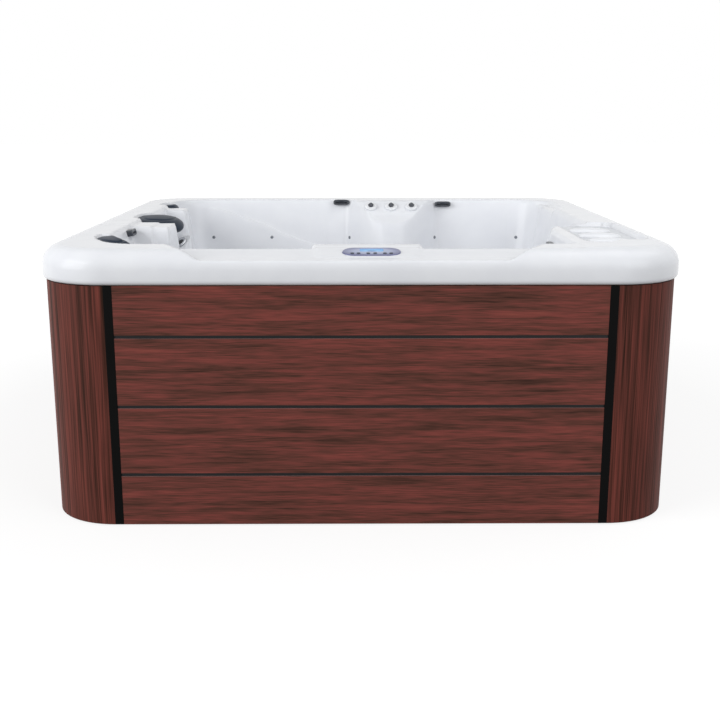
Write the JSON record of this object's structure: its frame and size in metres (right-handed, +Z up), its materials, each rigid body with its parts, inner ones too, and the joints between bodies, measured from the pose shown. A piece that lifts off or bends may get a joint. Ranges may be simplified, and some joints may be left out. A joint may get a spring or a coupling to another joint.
{
  "type": "hot tub",
  "caption": "Square free-standing hot tub: white moulded shell with seats, wood-look board skirt, head pillows, control panel, valves, jets, filter and pump.",
  "frame": {"origin": "middle of the footprint, on the floor", "axes": "+Z up; the control panel and the access panel face -Y; +X to the right seen from the front"},
  "size_m": [2.1, 2.1, 0.91],
  "materials": {
    "acrylic": "polished white acrylic",
    "skirt_board": "embossed wood grain, dark mahogany",
    "black_trim": "satin black",
    "timber": "planed softwood",
    "pillow_foam": "slate grey moulded foam",
    "slate_plastic": "dark grey satin",
    "light_lens": "smoked lens",
    "panel_silver": "silver satin",
    "panel_window": "pale blue display",
    "panel_key": "dark grey soft key",
    "white_knob": "white gloss",
    "jet_steel": "brushed ring",
    "white_fitting": "white plumbing plastic",
    "filter_pleats": "pleated polyester",
    "motor_paint": "dark enamel",
    "pump_plastic": "black glass-filled plastic",
    "heater_steel": "stainless tube",
    "box_plastic": "grey enclosure",
    "red_plastic": "red lever"
  },
  "bodies": {
    "tub": {"acrylic_shell": "acrylic", "side_and_back_boards": "skirt_board", "corner_panels": "skirt_board", "side_and_back_joint_strips": "black_trim", "corner_trims": "black_trim", "base_pan": "black_trim", "frame_bottom_rails": "timber", "frame_top_rails": "timber", "frame_uprights": "timber", "footwell_cradle": "timber", "pillow_front_left": "pillow_foam", "pillow_left": "pillow_foam", "pillow_back_left": "pillow_foam", "water_spouts": "slate_plastic", "light_points": "light_lens", "footwell_light": "light_lens", "control_panel_housing": "panel_silver", "control_panel_window": "panel_window", "jet_bodies": "white_fitting", "valve_bodies": "white_fitting", "water_main": "white_fitting", "air_main": "white_fitting", "footwell_fittings": "white_fitting", "pipes": "white_fitting", "skimmer_throat": "white_fitting", "filter_tank": "white_fitting", "suction_covers": "white_fitting", "drain_valve": "white_fitting", "massage_pump_motor": "motor_paint", "massage_pump_wet_end": "pump_plastic", "circulation_pump": "pump_plastic", "heater": "heater_steel", "control_box": "box_plastic"},
    "access_panel": {"front_boards": "skirt_board", "front_joint_strips": "black_trim"},
    "filter_lid": {"filter_lid": "acrylic"},
    "filter_cartridge": {"filter_cartridge": "filter_pleats"},
    "weir_flap": {"weir_flap": "white_fitting"},
    "pump_impeller": {"massage_pump_impeller": "pump_plastic"},
    "drain_handle": {"drain_handle": "red_plastic"},
    "air_knob_left": {"air_knob_left": "white_knob", "air_cap_left": "slate_plastic"},
    "diverter_knob": {"diverter_knob": "white_knob", "diverter_cap": "slate_plastic"},
    "air_knob_right": {"air_knob_right": "white_knob", "air_cap_right": "slate_plastic"},
    "panel_key_1": {"panel_key_1": "panel_key"},
    "panel_key_2": {"panel_key_2": "panel_key"},
    "panel_key_3": {"panel_key_3": "panel_key"},
    "panel_key_4": {"panel_key_4": "panel_key"},
    "panel_key_5": {"panel_key_5": "panel_key"},
    "panel_key_6": {"panel_key_6": "panel_key"},
    "jet_face_1": {"jet_face_1": "jet_steel"},
    "jet_face_2": {"jet_face_2": "jet_steel"},
    "jet_face_3": {"jet_face_3": "jet_steel"},
    "jet_face_4": {"jet_face_4": "jet_steel"},
    "jet_face_5": {"jet_face_5": "jet_steel"},
    "jet_face_6": {"jet_face_6": "jet_steel"},
    "jet_face_7": {"jet_face_7": "jet_steel"},
    "jet_face_8": {"jet_face_8": "jet_steel"}
  },
  "joints": [
    {"name": "access_panel_pull", "type": "slide", "parent": "tub", "child": "access_panel", "axis": [0, -1, 0], "range_m": [0, 0.6]},
    {"name": "filter_lid_lift", "type": "slide", "parent": "tub", "child": "filter_lid", "axis": [0, 0, 1], "range_m": [0, 0.56]},
    {"name": "filter_cartridge_lift", "type": "slide", "parent": "tub", "child": "filter_cartridge", "axis": [0, 0, 1], "range_m": [0, 0.504]},
    {"name": "weir_flap_tip", "type": "hinge", "parent": "tub", "child": "weir_flap", "pos_m": [0.721, -0.60533, 0.7228], "axis": [0, 1, 0], "range_deg": [0, 60], "stiffness_Nm_per_rad": 0.15},
    {"name": "massage_pump_spin", "type": "hinge", "parent": "tub", "child": "pump_impeller", "pos_m": [-0.35, -0.74025, 0.195], "axis": [1, 0, 0], "continuous": true},
    {"name": "drain_turn", "type": "hinge", "parent": "tub", "child": "drain_handle", "pos_m": [-0.3402, -0.5968, 0.16], "axis": [0, 0, -1], "range_deg": [0, 90]},
    {"name": "air_knob_left_turn", "type": "hinge", "parent": "tub", "child": "air_knob_left", "pos_m": [0.05998, 0.78519, 0.87765], "axis": [0, -0.5736, 0.8192], "range_deg": [0, 180]},
    {"name": "diverter_knob_turn", "type": "hinge", "parent": "tub", "child": "diverter_knob", "pos_m": [0.15698, 0.78519, 0.87765], "axis": [0, -0.5736, 0.8192], "range_deg": [-90, 90]},
    {"name": "air_knob_right_turn", "type": "hinge", "parent": "tub", "child": "air_knob_right", "pos_m": [0.25398, 0.78519, 0.87765], "axis": [0, -0.5736, 0.8192], "range_deg": [0, 180]},
    {"name": "panel_key_1_press", "type": "slide", "parent": "tub", "child": "panel_key_1", "axis": [0, 0.1628, -0.9867], "range_m": [0, 0.001], "stiffness_N_per_m": 600},
    {"name": "panel_key_2_press", "type": "slide", "parent": "tub", "child": "panel_key_2", "axis": [0, 0.1628, -0.9867], "range_m": [0, 0.001], "stiffness_N_per_m": 600},
    {"name": "panel_key_3_press", "type": "slide", "parent": "tub", "child": "panel_key_3", "axis": [0, 0.1628, -0.9867], "range_m": [0, 0.001], "stiffness_N_per_m": 600},
    {"name": "panel_key_4_press", "type": "slide", "parent": "tub", "child": "panel_key_4", "axis": [0, 0.1628, -0.9867], "range_m": [0, 0.001], "stiffness_N_per_m": 600},
    {"name": "panel_key_5_press", "type": "slide", "parent": "tub", "child": "panel_key_5", "axis": [0, 0.1628, -0.9867], "range_m": [0, 0.001], "stiffness_N_per_m": 600},
    {"name": "panel_key_6_press", "type": "slide", "parent": "tub", "child": "panel_key_6", "axis": [0, 0.1628, -0.9867], "range_m": [0, 0.001], "stiffness_N_per_m": 600},
    {"name": "jet_face_1_turn", "type": "hinge", "parent": "tub", "child": "jet_face_1", "pos_m": [-0.825, -0.55965, 0.64], "axis": [0.9864, 0, 0.1644], "range_deg": [0, 90]},
    {"name": "jet_face_2_turn", "type": "hinge", "parent": "tub", "child": "jet_face_2", "pos_m": [-0.825, 0.08998, 0.64], "axis": [0.9864, 0, 0.1644], "range_deg": [0, 90]},
    {"name": "jet_face_3_turn", "type": "hinge", "parent": "tub", "child": "jet_face_3", "pos_m": [-0.59955, 0.825, 0.64], "axis": [0, -0.9864, 0.1644], "range_deg": [0, 90]},
    {"name": "jet_face_4_turn", "type": "hinge", "parent": "tub", "child": "jet_face_4", "pos_m": [-0.42, 0.825, 0.64], "axis": [0, -0.9864, 0.1644], "range_deg": [0, 90]},
    {"name": "jet_face_5_turn", "type": "hinge", "parent": "tub", "child": "jet_face_5", "pos_m": [0.46998, 0.825, 0.64], "axis": [0, -0.9864, 0.1644], "range_deg": [0, 90]},
    {"name": "jet_face_6_turn", "type": "hinge", "parent": "tub", "child": "jet_face_6", "pos_m": [0.62003, 0.825, 0.64], "axis": [0, -0.9864, 0.1644], "range_deg": [0, 90]},
    {"name": "jet_face_7_turn", "type": "hinge", "parent": "tub", "child": "jet_face_7", "pos_m": [0.825, 0.01995, 0.64], "axis": [-0.9864, 0, 0.1644], "range_deg": [0, 90]},
    {"name": "jet_face_8_turn", "type": "hinge", "parent": "tub", "child": "jet_face_8", "pos_m": [-0.79658, 0.399, 0.7575], "axis": [-0.4513, -0.4117, 0.7917], "range_deg": [0, 90]}
  ],
  "couplings": [
    {"joint": "filter_cartridge_lift", "follows": "filter_lid_lift", "ratio": 0.9}
  ]
}
